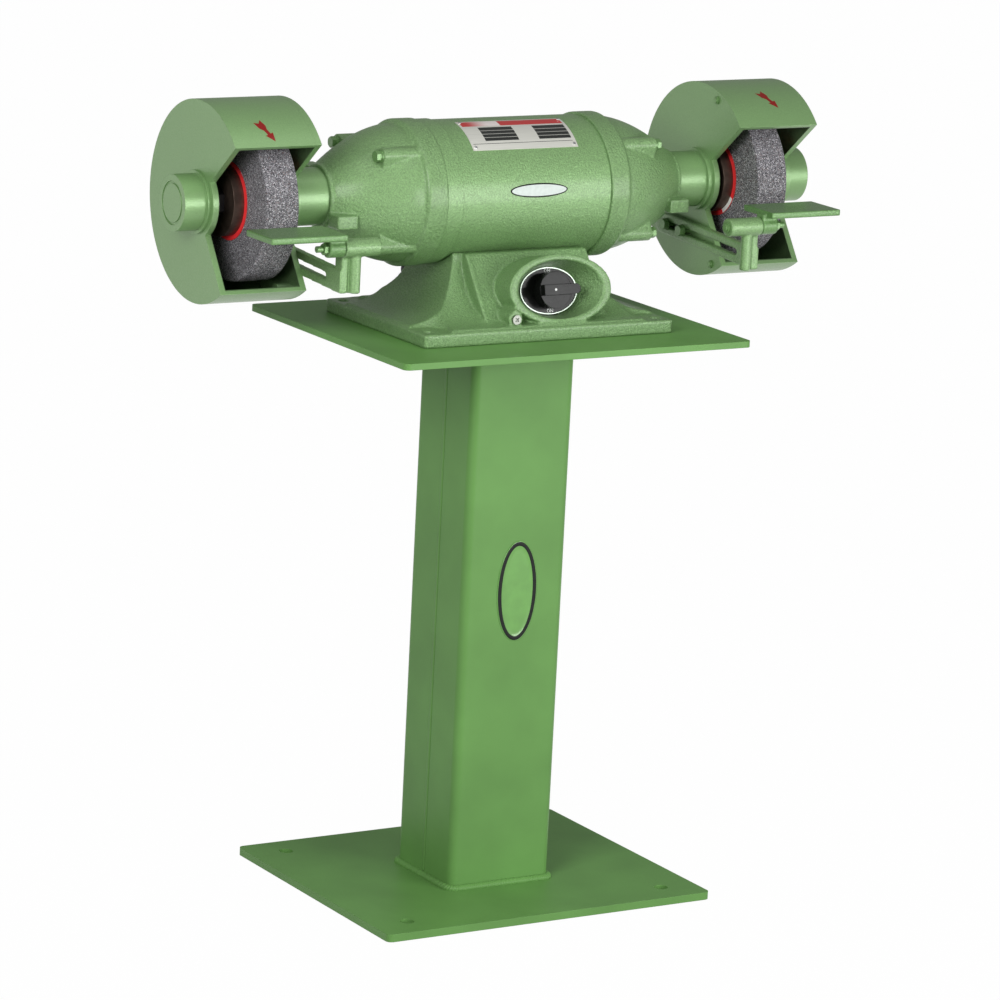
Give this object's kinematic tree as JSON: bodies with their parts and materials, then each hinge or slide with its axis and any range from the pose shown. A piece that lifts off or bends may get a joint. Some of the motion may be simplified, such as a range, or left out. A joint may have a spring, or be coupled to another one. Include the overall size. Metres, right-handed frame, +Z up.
{
  "type": "pedestal bench grinder on stand",
  "caption": "Double-ended bench grinder on a welded pedestal stand: guarded wheels, sliding tilting tool rests, domed motor bells, switch cup, box column and floor plate.",
  "frame": {"origin": "middle of the base plate's underside, on the floor", "axes": "+Z up, +X along the spindle to the right as seen by the user, -Y towards the user"},
  "size_m": [0.908, 0.4, 1.022],
  "materials": {
    "stand_paint": "semi-gloss green enamel over rolled plate",
    "hammer_paint": "lighter green metallic hammer-finish enamel over castings",
    "zinc_steel": "zinc-plated fasteners",
    "bright_steel": "ground steel",
    "dark_steel": "dark oily steel",
    "abrasive": "coarse grey vitrified abrasive grain",
    "red_paper": "pressed red paper",
    "black_plastic": "moulded black plastic",
    "black_enamel": "glossy enamelled badge",
    "white_enamel": "glossy enamelled badge",
    "bare_aluminium": "bare plate, light brushing",
    "copper": "varnished copper wire",
    "seal_rubber": "bearing seal"
  },
  "bodies": {
    "stand": {"base_plate": "stand_paint", "base_weld": "stand_paint", "column_front_channel": "stand_paint", "column_rear_channel": "stand_paint", "column_seam_welds": "stand_paint", "top_weld": "stand_paint", "top_plate": "stand_paint", "column_badge": "black_enamel", "mount_bolts": "zinc_steel", "mount_washers": "zinc_steel", "pedestal_casting": "hammer_paint", "shell_screws": "dark_steel", "switch_body": "black_plastic", "switch_dial": "black_plastic", "dial_ring": "bare_aluminium", "earth_screw": "zinc_steel", "cable_gland": "black_plastic", "motor_shell": "hammer_paint", "left_end_bell": "hammer_paint", "right_end_bell": "hammer_paint", "bell_bolts": "hammer_paint", "bell_washers": "hammer_paint", "stator_core": "dark_steel", "stator_windings": "copper", "bearing_outer_rings": "bright_steel", "bearing_balls": "bright_steel", "bearing_seals": "seal_rubber", "preload_spring": "dark_steel", "nameplate": "bare_aluminium", "nameplate_rivets": "bright_steel", "motor_badge": "white_enamel", "left_guard_plate": "hammer_paint", "left_guard_cover": "hammer_paint", "right_guard_plate": "hammer_paint", "right_guard_cover": "hammer_paint", "left_spindle_cap": "hammer_paint", "right_spindle_cap": "hammer_paint", "guard_screws": "hammer_paint", "guard_hub_screws": "dark_steel", "arm_bolts": "hammer_paint", "arm_washers": "hammer_paint"},
    "spindle": {"spindle_shaft": "bright_steel", "rotor": "dark_steel", "bearing_inner_rings": "bright_steel", "inner_clamp_flanges": "dark_steel", "outer_clamp_flanges": "dark_steel", "left_wheel": "abrasive", "right_wheel": "abrasive", "blotters": "red_paper", "left_spindle_nut": "dark_steel", "right_spindle_nut": "dark_steel"},
    "switch_knob": {"switch_knob": "black_plastic"},
    "left_arm": {"left_rest_arm": "hammer_paint", "left_pivot_bolt": "hammer_paint", "left_pivot_nut": "hammer_paint"},
    "left_rest": {"left_tool_rest": "hammer_paint"},
    "right_arm": {"right_rest_arm": "hammer_paint", "right_pivot_bolt": "hammer_paint", "right_pivot_nut": "hammer_paint"},
    "right_rest": {"right_tool_rest": "hammer_paint"}
  },
  "joints": [
    {"name": "spindle_spin", "type": "hinge", "parent": "stand", "child": "spindle", "pos_m": [0, 0.03, 0.897], "axis": [1, 0, 0], "continuous": true},
    {"name": "switch_turn", "type": "hinge", "parent": "stand", "child": "switch_knob", "pos_m": [0.022, -0.07498, 0.78302], "axis": [0, -0.9703, 0.2419], "range_deg": [-90, 90]},
    {"name": "left_arm_slide", "type": "slide", "parent": "stand", "child": "left_arm", "axis": [0, -0.9986, -0.0523], "range_m": [-0.008, 0.009]},
    {"name": "left_rest_tilt", "type": "hinge", "parent": "left_arm", "child": "left_rest", "pos_m": [-0.3123, -0.124, 0.861], "axis": [1, 0, 0], "range_deg": [-6, 30]},
    {"name": "right_arm_slide", "type": "slide", "parent": "stand", "child": "right_arm", "axis": [0, -0.9986, -0.0523], "range_m": [-0.008, 0.009]},
    {"name": "right_rest_tilt", "type": "hinge", "parent": "right_arm", "child": "right_rest", "pos_m": [0.3123, -0.124, 0.861], "axis": [1, 0, 0], "range_deg": [-6, 30]}
  ]
}
